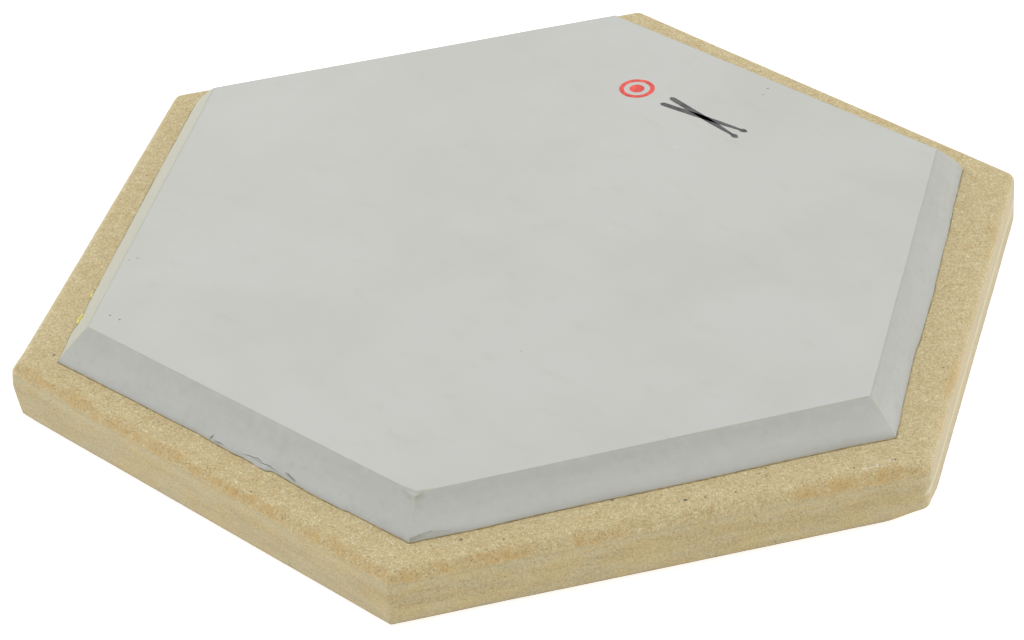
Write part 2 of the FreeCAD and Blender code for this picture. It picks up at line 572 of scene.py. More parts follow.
# %% Open the cracks
# side, width in mm, depth in mm, and the path as (along, share of the way up the slope)
CRACKS = [
    (0, 0.20, 0.7, [(0.540, 0.030), (0.553, 0.075), (0.566, 0.080), (0.582, 0.105),
                    (0.600, 0.062), (0.616, 0.078), (0.640, 0.035)]),
    (0, 0.14, 0.4, [(0.568, 0.045), (0.579, 0.060), (0.591, 0.040), (0.602, 0.045)]),
    (0, 0.40, 0.4, [(0.449, 0.020), (0.453, 0.110)]),
    (0, 0.26, 0.5, [(0.662, 0.105), (0.672, 0.090), (0.689, 0.035)]),
    (0, 0.16, 0.4, [(0.463, 0.020), (0.474, 0.035), (0.486, 0.020)]),
    (2, 0.25, 0.4, [(0.312, 0.020), (0.318, 0.090)]),
    (5, 0.30, 0.4, [(0.872, 0.030), (0.880, 0.110)]),
]


def slope_place(side, along, share):
    """A point on the straight slope between foot and brow."""
    lip = lip_height(side, along)
    foot = outline_point(slab_foot, side, along) + Vector((0, 0, lip)) - side_outward(side) * LIP_LEAN * lip
    return foot.lerp(outline_point(slab_brow, side, along), share)


def follow(points, share):
    """A point on a broken line, share of the way from its first point to its last."""
    position = share * (len(points) - 1)
    number = min(int(position), len(points) - 2)
    return points[number].lerp(points[number + 1], position - number)


def crack_cutter(side, width, depth, path):
    bpy.ops.mesh.primitive_uv_sphere_add(segments=8, ring_count=30, radius=1.0)
    cutter = name_piece("crack_cutter")
    places = [slope_place(side, along, share) for along, share in path]
    rise = slope_place(side, 0.5, 1.0) - slope_place(side, 0.5, 0.0)
    run = outline_point(slab_foot, side, 1.0) - outline_point(slab_foot, side, 0.0)
    inward = rise.cross(run).normalized()
    across = inward.cross(places[-1] - places[0]).normalized()
    for vertex in cutter.data.vertices:
        along, sideways, deep = vertex.co.z, vertex.co.x, vertex.co.y
        middle = follow(places, (along + 1) / 2)
        shake = 0.16 * noise.noise(middle / (0.8 * MM)) * MM
        vertex.co = middle + across * (sideways * width * MM / 2 + shake) + inward * deep * depth * MM
    face_outwards(cutter)
    return cutter


for crack in CRACKS:
    carve(slab, crack_cutter(*crack))
print("slab with cracks:", len(slab.data.polygons), "faces")

# %% [markdown]
# Two slivers of the torn skin lie in front of the cracks. Each is a narrow grid laid along the foot,
# made ragged, lifted a little and given a thickness.

# %% Lay the torn slivers
# along the near side from, to, widest in mm, lift in mm
SLIVERS = [
    (0.546, 0.622, 0.75, 0.30),
    (0.655, 0.700, 0.65, 0.20),
]


def sliver(number, start, end, width, lift):
    bpy.ops.mesh.primitive_grid_add(x_subdivisions=40, y_subdivisions=4, size=2.0)
    piece = name_piece("sliver_%d" % number)
    outward = side_outward(0)
    for vertex in piece.data.vertices:
        share, across = (vertex.co.x + 1) / 2, (vertex.co.y + 1) / 2
        along = start + (end - start) * share
        ragged = 1 + 0.25 * noise.noise(Vector((along * 90, number * 3.1, 0)))
        breadth = width * math.sin(math.pi * share) ** 0.6 * ragged
        foot = outline_point(slab_foot, 0, along) + outward * foot_wander(0, along)
        reach = (across * breadth - 0.6) * MM
        rise = (0.1 + lift * (1 - across) * math.sin(math.pi * share)) * MM
        vertex.co = Vector((foot.x, foot.y, BOARD_TOP + 0.12 * MM)) + outward * reach + Vector((0, 0, rise))
    apply_modifier(piece, "SOLIDIFY", thickness=0.3 * MM, offset=1.0)
    face_outwards(piece)
    return piece


slab = join([slab] + [sliver(i, *numbers) for i, numbers in enumerate(SLIVERS)])
smooth(slab, 30)
print("slab with slivers:", len(slab.data.polygons), "faces")

# %% [markdown]
# ## The glue
#
# Contact cement is brushed on both faces and pressed thin. At the edge it shows as a dark hairline,
# which is drawn wide and dark enough to stand also for the painted shade at the foot of the slab.
# Here and there it squeezed out and dried in yellow beads, most of them near the left corner. The
# film is a pulled-up disc laid along the foot of the slab. The beads are flattened, lumpy balls.

# %% Glue film and beads
GLUE_POINTS = 90
GLUE_THICKNESS = SLAB_BOTTOM - BOARD_TOP
# How far in mm the film shows beyond the slab, side by side. Its dark edge is widest on the near right side,
# where it also stands for painted shade under the lip.
GLUE_MARGINS = [0.16, 0.30, 0.22, 0.25, 0.25, 0.22]

glue = pull_up_disc("contact_cement", GLUE_POINTS, 2)


def glue_point(side, along, level):
    outward = corner_outward(side, along)
    margin = GLUE_MARGINS[side] + 0.18 * noise.noise(Vector((side + along, 3.3, 0)) * 11)
    margin += 0.15 * noise.noise(Vector((side + along, 5.7, 0)) * 47)
    foot = outline_point(slab_foot, side, along) + outward * foot_wander(side, along)
    return Vector((foot.x, foot.y, BOARD_TOP + level * GLUE_THICKNESS)) + outward * margin * MM


lay_along(glue, GLUE_POINTS, glue_point)

# side, along, length, width and height in mm
BEADS = [
    (5, 0.855, 3.6, 1.5, 0.7),
    (5, 0.835, 1.6, 1.1, 0.5),
    (5, 0.76, 2.6, 0.9, 0.6),
    (5, 0.735, 1.2, 0.7, 0.4),
    (4, 0.35, 2.0, 0.9, 0.4),
    (3, 0.62, 2.4, 1.0, 0.4),
]


def bead(number, side, along, length, width, height):
    bpy.ops.mesh.primitive_ico_sphere_add(subdivisions=4, radius=1.0)
    piece = name_piece("bead_%d" % number)
    for vertex in piece.data.vertices:
        vertex.co *= 1 + 0.3 * noise.noise(vertex.co * 1.4 + Vector((number * 4.0, 0, 0)))
        vertex.co.z = max(vertex.co.z, -0.15)
    run = slab_foot[(side + 1) % SIDES] - slab_foot[side]
    foot = outline_point(slab_foot, side, along) + side_outward(side) * (foot_wander(side, along) + 0.3 * MM)
    piece.scale = (length * MM / 2, width * MM / 2, height * MM)
    piece.rotation_euler = (0, 0, math.atan2(run.y, run.x))
    piece.location = (foot.x, foot.y, BOARD_TOP + 0.1 * MM)
    return settle(piece)


glue = join([glue] + [bead(i, *numbers) for i, numbers in enumerate(BEADS)])
smooth(glue, 40)
print("glue:", len(glue.data.polygons), "faces")

# %% [markdown]
# ## The print
#
# A pad like this carries a small print at its far side. Here it is a plain ring with a dot, and a
# pair of crossed drumsticks. Ink is a film, so each shape is a thin plate whose rim wavers by a few
# hundredths, as ink does on rubber.

# %% Ring, dot and sticks
ring_low, ring_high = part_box("printed_ring")
sticks_low, sticks_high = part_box("printed_sticks")
INK = ring_high.z - ring_low.z
RING_RADIUS = (ring_high.x - ring_low.x) / 2
RING_BREADTH = RING_RADIUS * 0.26
DOT_RADIUS = RING_RADIUS * 0.42
ring_centre = (ring_low + ring_high) / 2
sticks_centre = (sticks_low + sticks_high) / 2


def ink_wobble(piece):
    for vertex in piece.data.vertices:
        place = vertex.co.copy()
        place.z = 0
        shift = Vector((ripple(place, 0.9 * MM, 1.0), ripple(place, 0.9 * MM, 5.0), 0))
        vertex.co += shift * 0.05 * MM


def plate(name, x, y, radius, vertices=96):
    bpy.ops.mesh.primitive_circle_add(
        vertices=vertices, radius=radius, fill_type="NGON", location=(x, y, SLAB_TOP))
    return settle(name_piece(name))


def thicken(piece):
    with bench(piece):
        bpy.ops.mesh.select_all(action="SELECT")
        bpy.ops.mesh.extrude_region_move(TRANSFORM_OT_translate={"value": (0, 0, INK)})
    face_outwards(piece)
    ink_wobble(piece)


ring = plate("printed_ring_mark", ring_centre.x, ring_centre.y, RING_RADIUS)
with bench(ring):
    bpy.ops.mesh.select_all(action="SELECT")
    bpy.ops.mesh.inset(thickness=RING_BREADTH)
    bpy.ops.mesh.delete(type="FACE")
thicken(ring)
dot = plate("ring_dot", ring_centre.x, ring_centre.y, DOT_RADIUS, 48)
thicken(dot)
ring = join([ring, dot])

STICK_LENGTH = (sticks_high.x - sticks_low.x) * 1.005
STICK_SLANT = math.radians(8)
# Shares of the length where the taper and the tip begin, and half widths in mm
TAPER_START, TIP_START = 0.58, 0.915
SHAFT_HALF_WIDTH, NECK_HALF_WIDTH, TIP_SWELL = 0.85, 0.43, 0.62


def stick_half_width(share):
    """Half width in mm of a drumstick, from butt (0) to the end of its tip (1)."""
    if share < TAPER_START:
        return SHAFT_HALF_WIDTH * min(1, (share / 0.03) ** 0.5) if share > 0 else 0
    if share < TIP_START:
        tapered = ((share - TAPER_START) / (TIP_START - TAPER_START)) ** 1.2
        return SHAFT_HALF_WIDTH - (SHAFT_HALF_WIDTH - NECK_HALF_WIDTH) * tapered
    tip = (share - TIP_START) / (1 - TIP_START)
    return NECK_HALF_WIDTH * (1 - tip) + TIP_SWELL * math.sin(math.pi * tip)


def stick(name, slant):
    half = 60
    piece = plate(name, 0, 0, 1.0, 2 * half)
    for vertex in piece.data.vertices:
        angle = math.atan2(vertex.co.y, vertex.co.x)
        share = (1 - math.cos(abs(angle))) / 2
        width = stick_half_width(share) * MM * (1 if angle > 0 else -1)
        vertex.co = Vector(((share - 0.5) * STICK_LENGTH, width, SLAB_TOP))
    thicken(piece)
    piece.rotation_euler = (0, 0, slant)
    piece.location = (sticks_centre.x, sticks_centre.y, 0)
    return settle(piece)


sticks = join([stick("printed_drumsticks", STICK_SLANT), stick("second_stick", -STICK_SLANT)])
print("print: ring %.1f mm, sticks %.1f mm" % (2 * RING_RADIUS / MM, STICK_LENGTH / MM))

# %% [markdown]
# ## The tee nut
#
# A tee nut is stamped from sheet: a flange, four prongs folded down from its rim and a barrel with a
# thread inside. Spinning half of its section round the axis makes flange, barrel and thread in one
# go. The prongs are faces of the rim, pulled down and narrowed.

# %% Spin the nut and fold its prongs
THREAD_PITCH = 1.25 * MM
THREAD_DEPTH = 0.45 * MM
THREAD_RADIUS = 3.4 * MM
BARREL_RADIUS = 5.0 * MM
BARREL_CHAMFER = 0.3 * MM
THREAD_MOUTH = 0.5 * MM
PRONG_THICKNESS = 1.2 * MM
PRONG_REACH = 4.5 * MM
PRONG_HALF_WIDTH = 13        # degrees
flange_underside = nut_high.z - FLANGE_DEPTH


def nut_section():
    """Half section of the nut, as (radius, height) corners, going once round."""
    section = [(BARREL_RADIUS, nut_low.z + BARREL_CHAMFER), (BARREL_RADIUS, flange_underside)]
    section += [(FLANGE_RADIUS, flange_underside), (FLANGE_RADIUS, nut_high.z)]
    section.append((THREAD_RADIUS + THREAD_MOUTH, nut_high.z))
    turns = int((nut_high.z - nut_low.z) / THREAD_PITCH) - 1
    top = nut_high.z - 0.6 * MM
    for turn in range(turns):
        section.append((THREAD_RADIUS, top - turn * THREAD_PITCH))
        section.append((THREAD_RADIUS + THREAD_DEPTH, top - (turn + 0.5) * THREAD_PITCH))
    section.append((THREAD_RADIUS, top - turns * THREAD_PITCH))
    section.append((THREAD_RADIUS + THREAD_MOUTH, nut_low.z))
    section.append((BARREL_RADIUS - BARREL_CHAMFER, nut_low.z))
    return section


section = nut_section()
bpy.ops.mesh.primitive_circle_add(vertices=len(section), radius=1.0, fill_type="NOTHING")
nut = name_piece("zinc_tee_nut")
for vertex, (radius, height) in zip(nut.data.vertices, section):
    vertex.co = Vector((radius, 0, height))
SPIN_STEPS = 72
with bench(nut, "VERT"):
    bpy.ops.mesh.select_all(action="SELECT")
    bpy.ops.mesh.spin(steps=SPIN_STEPS, angle=2 * math.pi, center=(0, 0, 0), axis=(0, 0, 1))
face_outwards(nut)


def under_the_rim(place, half_width):
    """True on the flange's underside, close to one of the four prong directions."""
    angle = (math.degrees(math.atan2(place.y, place.x)) + 45) % 90
    near = min(angle, 90 - angle) <= half_width
    return near and abs(place.z - flange_underside) < SAME_LEVEL


with bench(nut):
    rim_inner = FLANGE_RADIUS - PRONG_THICKNESS - 0.3 * MM
    pick(nut, "faces", lambda p: abs(p.z - flange_underside) < SAME_LEVEL)
    bpy.ops.mesh.inset(thickness=PRONG_THICKNESS, use_boundary=True)
    pick(nut, "faces", lambda p: under_the_rim(p, PRONG_HALF_WIDTH) and p.xy.length > rim_inner)
    bpy.ops.mesh.extrude_region_move(TRANSFORM_OT_translate={"value": (0, 0, -PRONG_REACH)})
    bpy.ops.transform.resize(value=(0.97, 0.97, 1), center_override=(0, 0, 0))
smooth(nut, 30)
print("tee nut:", len(nut.data.polygons), "faces")

# %% [markdown]
# ## Feet
#
# Six rubber discs, stuck on with double-sided tape. One is turned properly, with a soft lower rim
# and a shallow dish that lets it grip, and the other five are copies with their own mesh.

# %% One foot, then its copies
foot_low, foot_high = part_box("foot_1")
FOOT_RADIUS = (foot_high.x - foot_low.x) / 2
FOOT_HEIGHT = foot_high.z - foot_low.z


def make_foot(centre):
    bpy.ops.mesh.primitive_cylinder_add(
        vertices=56, radius=FOOT_RADIUS, depth=FOOT_HEIGHT, location=(centre.x, centre.y, FOOT_HEIGHT / 2))
    foot = settle(name_piece("rubber_foot_1"))
    with bench(foot, "EDGE"):
        pick(foot, "edges", lambda p: p.z < SAME_LEVEL)
        bpy.ops.mesh.bevel(offset=0.45 * MM, segments=4, profile=0.5)
    with bench(foot):
        pick(foot, "faces", lambda p: p.z < SAME_LEVEL)
        bpy.ops.mesh.inset(thickness=1.3 * MM)
        bpy.ops.mesh.inset(thickness=0.25 * MM)
        bpy.ops.transform.translate(value=(0, 0, 0.2 * MM))
    with bench(foot, "EDGE"):
        pick(foot, "edges", lambda p: p.z > FOOT_HEIGHT - SAME_LEVEL)
        bpy.ops.mesh.bevel(offset=0.15 * MM, segments=2, profile=0.5)
    smooth(foot, 35)
    return foot


first_centre = (foot_low + foot_high) / 2
feet = [make_foot(first_centre)]
for i in range(1, SIDES):
    copy = feet[0].copy()
    copy.data = feet[0].data.copy()
    copy.name = copy.data.name = "rubber_foot_%d" % (i + 1)
    bpy.context.collection.objects.link(copy)
    low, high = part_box("foot_%d" % (i + 1))
    centre = (low + high) / 2
    copy.data.transform(Matrix.Translation((centre.x - first_centre.x, centre.y - first_centre.y, 0)))
    feet.append(copy)
print("feet:", len(feet))

# %% [markdown]
# ## Shader maths as plain expressions
#
# A material is a formula over the surface. Written node by node it is hard to read, so `Wire` wraps
# one output socket and lets it be added, multiplied and subtracted, and `Finish` adds the other
# nodes. Patterns are laid out in millimetres, because that is how grain and specks are measured.

# %% Wire and Finish
class Wire:
    """One output socket that can be used in arithmetic."""

    def __init__(self, finish, socket):
        self.finish, self.socket = finish, socket

    def _with(self, operation, first, second=None):
        values = {0: first} if second is None else {0: first, 1: second}
        return self.finish.node("ShaderNodeMath", values, operation=operation)

    def __add__(self, other):
        return self._with("ADD", self, other)

    def __sub__(self, other):
        return self._with("SUBTRACT", self, other)

    def __mul__(self, other):
        return self._with("MULTIPLY", self, other)

    def __radd__(self, other):
        return self._with("ADD", other, self)

    def __rsub__(self, other):
        return self._with("SUBTRACT", other, self)

    def __rmul__(self, other):
        return self._with("MULTIPLY", other, self)

    def __abs__(self):
        return self._with("ABSOLUTE", self)

    def most(self, other):
        return self._with("MAXIMUM", self, other)

    def least(self, other):
        return self._with("MINIMUM", self, other)

    def ease(self, start, end):
        """0 before start, 1 after end, smooth between. It falls instead if start is the larger."""
        rising = start < end
        low, high = (start, end) if rising else (end, start)
        sockets = {"Value": self, "From Min": low, "From Max": high}
        sockets.update({"To Min": 0.0 if rising else 1.0, "To Max": 1.0 if rising else 0.0})
        return self.finish.node("ShaderNodeMapRange", sockets, interpolation_type="SMOOTHSTEP")


class Finish:
    """A material under construction."""

    def __init__(self, name, **constants):
        self.material = bpy.data.materials.new(name)
        self.material.use_nodes = True
        self.tree = self.material.node_tree
        self.shader = self.tree.nodes["Principled BSDF"]
        for socket, value in constants.items():
            self.shader.inputs[socket.replace("_", " ")].default_value = value
        self.place = self.node("ShaderNodeTexCoord", {}, output="Object")
        self.mm = self.mapped(1 / MM)

    def node(self, kind, sockets, output=0, **settings):
        """Adds a node: its settings first, then the values or wires of its sockets."""
        node = self.tree.nodes.new(kind)
        stops = settings.pop("stops", None)
        for key, value in settings.items():
            setattr(node, key, value)
        if stops:
            ramp = node.color_ramp
            while len(ramp.elements) < len(stops):
                ramp.elements.new(0.5)
            for element, (position, colour) in zip(ramp.elements, stops):
                element.position, element.color = position, colour
        for key, value in sockets.items():
            socket = node.inputs[key]
            if isinstance(value, Wire):
                self.tree.links.new(value.socket, socket)
            else:
                socket.default_value = value
        return Wire(self, node.outputs[output])

    def mapped(self, scale, turn=0.0, shift=(0, 0, 0)):
        """Object coordinates times scale, a number or one number per axis, turned about Z in degrees."""
        scale = (scale,) * 3 if isinstance(scale, (int, float)) else scale
        sockets = {"Vector": self.place, "Scale": scale, "Location": shift}
        sockets["Rotation"] = (0, 0, math.radians(turn))
        return self.node("ShaderNodeMapping", sockets)

    def cloud(self, size_mm, detail=2.0, roughness=0.5, turn=0.0, shift=0.0, curl=0.0):
        """Noise centred on 0.5 with features of about this size, one number or one for each axis."""
        sizes = size_mm if isinstance(size_mm, tuple) else (size_mm,) * 3
        shifts = shift if isinstance(shift, tuple) else (shift, shift * 0.7, shift * 1.3)
        source = self.mapped(tuple(1 / (size * MM) for size in sizes), turn, shifts)
        sockets = {"Vector": source, "Scale": 1.0, "Detail": detail}
        sockets.update({"Roughness": roughness, "Distortion": curl})
        return self.node("ShaderNodeTexNoise", sockets)

    def vectors(self, operation, first, second, output=0):
        """Arithmetic between two vectors, each one a wire or three numbers."""
        return self.node("ShaderNodeVectorMath", {0: first, 1: second}, output, operation=operation)

    def scaled(self, vector, factor):
        return self.node("ShaderNodeVectorMath", {0: vector, "Scale": factor}, operation="SCALE")

    def specks(self, cell_mm, radius_share, chosen, shift=0.0, warp=0.35):
        """Scattered specks: one cell in 1 / chosen holds one, of up to radius_share of the cell."""
        source = self.mapped(1 / (cell_mm * MM), shift=(shift, shift * 1.9, shift * 0.6))
        waves = {"Vector": source, "Scale": 3.5, "Detail": 2.0}
        wobble = self.node("ShaderNodeTexNoise", waves, output="Color")
        offset = self.scaled(self.vectors("SUBTRACT", wobble, (0.5, 0.5, 0.5)), warp)
        moved = self.vectors("ADD", source, offset)
        cells = {"Vector": moved, "Scale": 1.0}
        distance = self.node("ShaderNodeTexVoronoi", cells, output="Distance")
        colour = self.node("ShaderNodeTexVoronoi", cells, output="Color")
        lot = self.node("ShaderNodeSeparateColor", {"Color": colour}, output="Red")
        size = self.node("ShaderNodeSeparateColor", {"Color": colour}, output="Green")
        reach = size * radius_share * 0.6 + radius_share * 0.4
        return (reach - distance).ease(0.0, radius_share * 0.25) * lot.ease(1 - chosen, 1 - chosen + 0.002)

    def spot(self, x, y, z, radius_mm):
        """1 at a point given in mm, fading to 0 at the radius."""
        distance = self.vectors("DISTANCE", self.mm, (x, y, z), "Value")
        return distance.ease(radius_mm, radius_mm * 0.35)

    def stroke(self, start, end, radius_mm):
        """1 along the straight line between two points given in mm, fading to 0 at the radius."""
        run = Vector(end) - Vector(start)
        offset = self.vectors("SUBTRACT", self.mm, tuple(start))
        reached = self.vectors("DOT_PRODUCT", offset, tuple(run), "Value")
        along = (reached * (1 / run.length_squared)).most(0.0).least(1.0)
        distance = self.vectors("DISTANCE", offset, self.scaled(tuple(run), along), "Value")
        return distance.ease(radius_mm, radius_mm * 0.3)

    def facing(self, direction):
        """How far the surface looks in a direction, from -1 to 1."""
        normal = self.node("ShaderNodeNewGeometry", {}, output="Normal")
        return self.vectors("DOT_PRODUCT", normal, direction, "Value")

    def mix(self, share, first, second, blend="MIX"):
        node = self.tree.nodes.new("ShaderNodeMix")
        node.data_type = "RGBA"
        node.blend_type = blend
        sockets = [socket for socket in node.inputs if socket.enabled]
        for socket, value in zip(sockets, (share, first, second)):
            if isinstance(value, Wire):
                self.tree.links.new(value.socket, socket)
            else:
                socket.default_value = value if socket is sockets[0] else (*value[:3], 1)
        return Wire(self, next(socket for socket in node.outputs if socket.enabled))

    def coats(self, body, *layers):
        """Lays coats over a body colour in turn. Each one is its share, then red, green and blue."""
        for share, red, green, blue in layers:
            body = self.mix(share, body, tone(red, green, blue))
        return body

    def height(self):
        return self.node("ShaderNodeSeparateXYZ", {"Vector": self.mm}, output="Z")

    def bump(self, height, depth_mm, strength=1.0):
        sockets = {"Height": height, "Distance": depth_mm * MM, "Strength": strength}
        return self.node("ShaderNodeBump", sockets)

    def feed(self, **wires):
        for key, wire in wires.items():
            self.tree.links.new(wire.socket, self.shader.inputs[key.replace("_", " ")])
        return self.material


def tone(red, green, blue):
    """A colour as a paint chart gives it, 0 to 255 a channel, turned to the linear values of a shader."""
    def linear(value):
        share = value / 255
        return share / 12.92 if share <= 0.04045 else ((share + 0.055) / 1.055) ** 2.4
    return (linear(red), linear(green), linear(blue), 1.0)


def dress(piece, material):
    piece.data.materials.clear()
    piece.data.materials.append(material)


print("ivory as a shader sees it:", [round(v, 3) for v in tone(240, 235, 220)])

# %% [markdown]
# ## Fibreboard
#
# Fibreboard is felted from wood fibre that lies flat in the sheet. From above it is a tan felt with
# short pale and brown fibres in every direction and a few flecks of bark. On the sawn sides the same
# felt is seen edge on: streaks along the board, a darker, coarser core, paler and harder layers near
# both faces. The router bit polished its rounded edge to a warmer brown, most of all at the corners.
# All of it is one pattern in space, so it runs round every edge as real felt does.

# %% Fibreboard: the felt
# Which way three of the sides look
RIGHT_SIDE, NEAR_RIGHT_SIDE, LEFT_SIDE = (0.866, 0.5, 0), (0.866, -0.5, 0), (-0.866, -0.5, 0)
# Where the router dwelt and browned the edge, in mm: x, y and reach
SCORCHED = [
    (-60.0, -120.5, 12.0), (-44.0, -121.0, 18.0), (-28.0, -121.0, 16.0), (-10.0, -121.0, 20.0),
    (8.0, -121.0, 20.0), (24.0, -121.0, 14.0), (50.0, -121.0, 14.0), (74.0, -118.0, 18.0),
    (84.0, -98.0, 13.0), (96.0, -74.0, 10.0), (135.0, -10.0, 13.0), (126.0, -24.0, 12.0),
    (120.0, 34.0, 12.0), (30.0, 121.0, 30.0),
]
# Flecks of bark large enough to list one by one: x, y and radius in mm
BARK = [
    (103.8, -51.0, 0.75), (111.0, -40.4, 0.45), (112.4, -30.5, 0.4), (110.0, -28.1, 0.35),
    (73.2, -99.0, 0.6), (90.1, -62.8, 0.6), (19.2, -119.0, 0.5), (-64.5, -111.2, 0.6),
    (126.6, -13.6, 0.4), (129.0, -11.0, 0.45), (130.6, -8.6, 0.4), (132.0, -4.3, 0.55),
    (81.0, -92.0, 0.45),
]


def fibreboard():
    f = Finish("fibreboard", Specular_IOR_Level=0.5, Sheen_Weight=0.2)
    top, bottom = BOARD_TOP / MM, BOARD_BOTTOM / MM
    z = f.height()

    grain = f.cloud(0.50, detail=3.0, roughness=0.75, curl=1.1)
    tint = f.cloud(0.75, detail=2.0, roughness=0.6, shift=6.0)
    mottle = f.cloud(3.6, detail=3.0, roughness=0.6, shift=4.0)
    broad = f.cloud(30, detail=2.0, roughness=0.55, shift=9.0)
    ragged = f.cloud(4.5, detail=4.0, roughness=0.7, shift=29.0)
    ground = f.mix(grain.ease(0.32, 0.68), tone(160, 141, 97), tone(215, 201, 156))
    ground = f.coats(
        ground,
        (tint.ease(0.50, 0.70) * 0.45, 190, 160, 106),
        (tint.ease(0.46, 0.28) * 0.34, 212, 203, 164),
        (mottle.ease(0.50, 0.72) * 0.28, 206, 192, 150),
        (mottle.ease(0.48, 0.30) * 0.22, 182, 160, 114))

    # Single fibres: the zero lines of a noise, broken into short curls
    curl = abs(f.cloud(2.1, detail=1.0, shift=13.0) - 0.5).ease(0.018, 0.004)
    lock = f.cloud(2.6, detail=2.0, shift=17.0)
    ground = f.coats(ground, (curl * lock.ease(0.50, 0.58) * 0.60, 170, 124, 74))
    hair = abs(f.cloud(1.5, detail=1.0, shift=23.0) - 0.5).ease(0.020, 0.005)
    ground = f.coats(ground, (hair * lock.ease(0.50, 0.42) * 0.65, 228, 220, 184))

    # On the sawn side: layers by height, wavering along the board
    wander = f.cloud((20, 20, 6), detail=3.0, roughness=0.6)
    level = z - bottom + (wander - 0.5) * 7.0 + (grain - 0.5) * 1.6
    edge = z + (mottle - 0.5) * 1.6 + (grain - 0.5) * 0.8
    side = edge.ease(top - 2.0, top - 4.2)
    core = level.ease(1.4, 3.6) * level.ease(10.4, 7.4) * side
    hard = level.ease(8.4, 10.6) * side
    streaks = f.cloud((4, 4, 0.8), detail=4.0, roughness=0.65)
    layers = f.cloud((14, 14, 2.6), detail=3.0, shift=(7, 2, 4))
    coarse = f.cloud(0.55, detail=3.0, roughness=0.75, shift=2.0)
    blotch = f.cloud((9, 9, 3.2), detail=3.0, shift=(3, 5, 1))
    ground = f.coats(
        ground,
        (side * 0.55, 180, 164, 118),
        (side * blotch.ease(0.50, 0.62) * 0.40, 176, 168, 134),
        (side * blotch.ease(0.50, 0.38) * 0.42, 194, 170, 110),
        (side * layers.ease(0.50, 0.62) * 0.15, 198, 185, 146),
        (core * (0.18 + 0.24 * layers.ease(0.52, 0.40)), 162, 140, 96),
        (hard * 0.12, 190, 180, 144),
        (side * streaks.ease(0.52, 0.66) * 0.15, 206, 190, 142),
        (side * streaks.ease(0.48, 0.34) * 0.17, 148, 132, 98),
        (side * coarse.ease(0.50, 0.66) * 0.50, 206, 193, 150),
        (side * coarse.ease(0.48, 0.32) * 0.54, 136, 115, 78),
        # Painted shade: the sawn sides darker towards the bottom, over their lowest 3.5 mm
        (side * z.ease(bottom + 3.5, bottom) * 0.22, 140, 122, 86))
    # Painted highlights: a pale line half way up the right side, with a band of painted shade above it, and
    # a pale line on the rounded edge of the left side
    right = f.facing(RIGHT_SIDE).ease(0.6, 0.9) * side
    rubbing_and_highlight = z.ease(bottom + 4.6, bottom + 5.6) * z.ease(bottom + 7.4, bottom + 6.4) * right
    ground = f.coats(
        ground,
        (rubbing_and_highlight * 0.36, 222, 214, 188),
        (z.ease(bottom + 7.4, bottom + 8.8) * right * 0.35, 176, 160, 120))
    left = f.facing(LEFT_SIDE).ease(0.45, 0.85) * z.ease(top - 3.6, top - 2.4)
    ground = f.coats(ground, (left * 0.45, 230, 224, 200))

    # The routed edge: burnished brown, in patches that break up along the grain
    routed = edge.ease(top - 3.7, top - 2.3) * edge.ease(top + 0.2, top - 0.8)
    patch = broad.ease(0.50, 0.66) * 0.5
    for x, y, radius in SCORCHED:
        patch = patch.most(f.spot(x, y, top - 1.2, radius))
    broken = (0.25 + 0.75 * ragged.ease(0.40, 0.60)) * (0.55 + 0.45 * grain.ease(0.36, 0.60))
    burnish = routed * (0.08 + 0.72 * patch) * broken
    ground = f.coats(
        ground,
        (burnish, 192, 158, 94),
        (routed * patch * grain.ease(0.46, 0.34) * 0.55, 142, 108, 62))
    # Painted shade: a dark band where the round-over meets the sawn side, for the shadow of the small step
    # that the router left
    step = edge.ease(top - 4.1, top - 3.5) * edge.ease(top - 2.8, top - 3.3)
    ground = f.coats(ground, (step * streaks.ease(0.35, 0.6) * 0.30, 150, 132, 98))
    # Painted shade: a dark line along the lowest half millimetre of the sawn sides
    arris = z.ease(bottom + 0.50, bottom + 0.10)
    ground = f.coats(ground, (arris * 0.55, 128, 104, 68))

    # Bark
    dust = f.specks(1.15, 0.20, 0.30, shift=3.0)
    small = f.specks(2.3, 0.15, 0.26, shift=27.0)
    reddish = f.specks(1.7, 0.17, 0.22, shift=21.0)
    large = f.specks(9.0, 0.07, 0.20, shift=11.0)
    ground = f.coats(
        ground,
        (dust * 0.42, 116, 98, 70),
        (reddish * 0.45, 164, 104, 58),
        (small * 0.62, 96, 84, 66),
        (large * 0.80, 84, 80, 76))
    for x, y, radius in BARK:
        ground = f.mix(f.spot(x, y, top, radius) * 0.85, ground, tone(66, 66, 70))
    for x, y, length, width, direction in CHIPS:
        lean = math.radians(direction)
        reach = Vector((math.cos(lean), math.sin(lean), 0)) * length / 2
        middle = Vector((x, y, top))
        torn = f.stroke(middle - reach, middle + reach, width * 0.75)
        ground = f.coats(ground, (torn * 0.7, 226, 218, 188))

    rough = 0.74 - 0.12 * burnish - 0.05 * hard
    relief = grain * 0.7 + curl * 0.15 - small * 0.4 + side * coarse * 1.3 + streaks * side * 0.5
    return f.feed(Base_Color=ground, Roughness=rough, Normal=f.bump(relief, 0.05, 0.5))


board_finish = fibreboard()
dress(board, board_finish)
print("fibreboard nodes:", len(board_finish.node_tree.nodes))

# %% [markdown]
# ## Gum rubber
#
# The playing face is calendered gum rubber: an even, slightly warm grey, dead matt, with faint
# smears, a few pin-prick specks and some scuffs. The knife-cut slopes are a fresher surface of the
# same stuff, and catch a yellowish glint along their upper arris. So little happens in it that every
# value has to be small.

# %% Gum rubber
def crease(side, first, last, radius, strength):
    """A line of painted shade on a slope: from and to as (along, share of the way up), radius in mm,
    strength.
    """
    start, end = slope_place(side, *first), slope_place(side, *last)
    return (start / MM, end / MM, radius, strength)
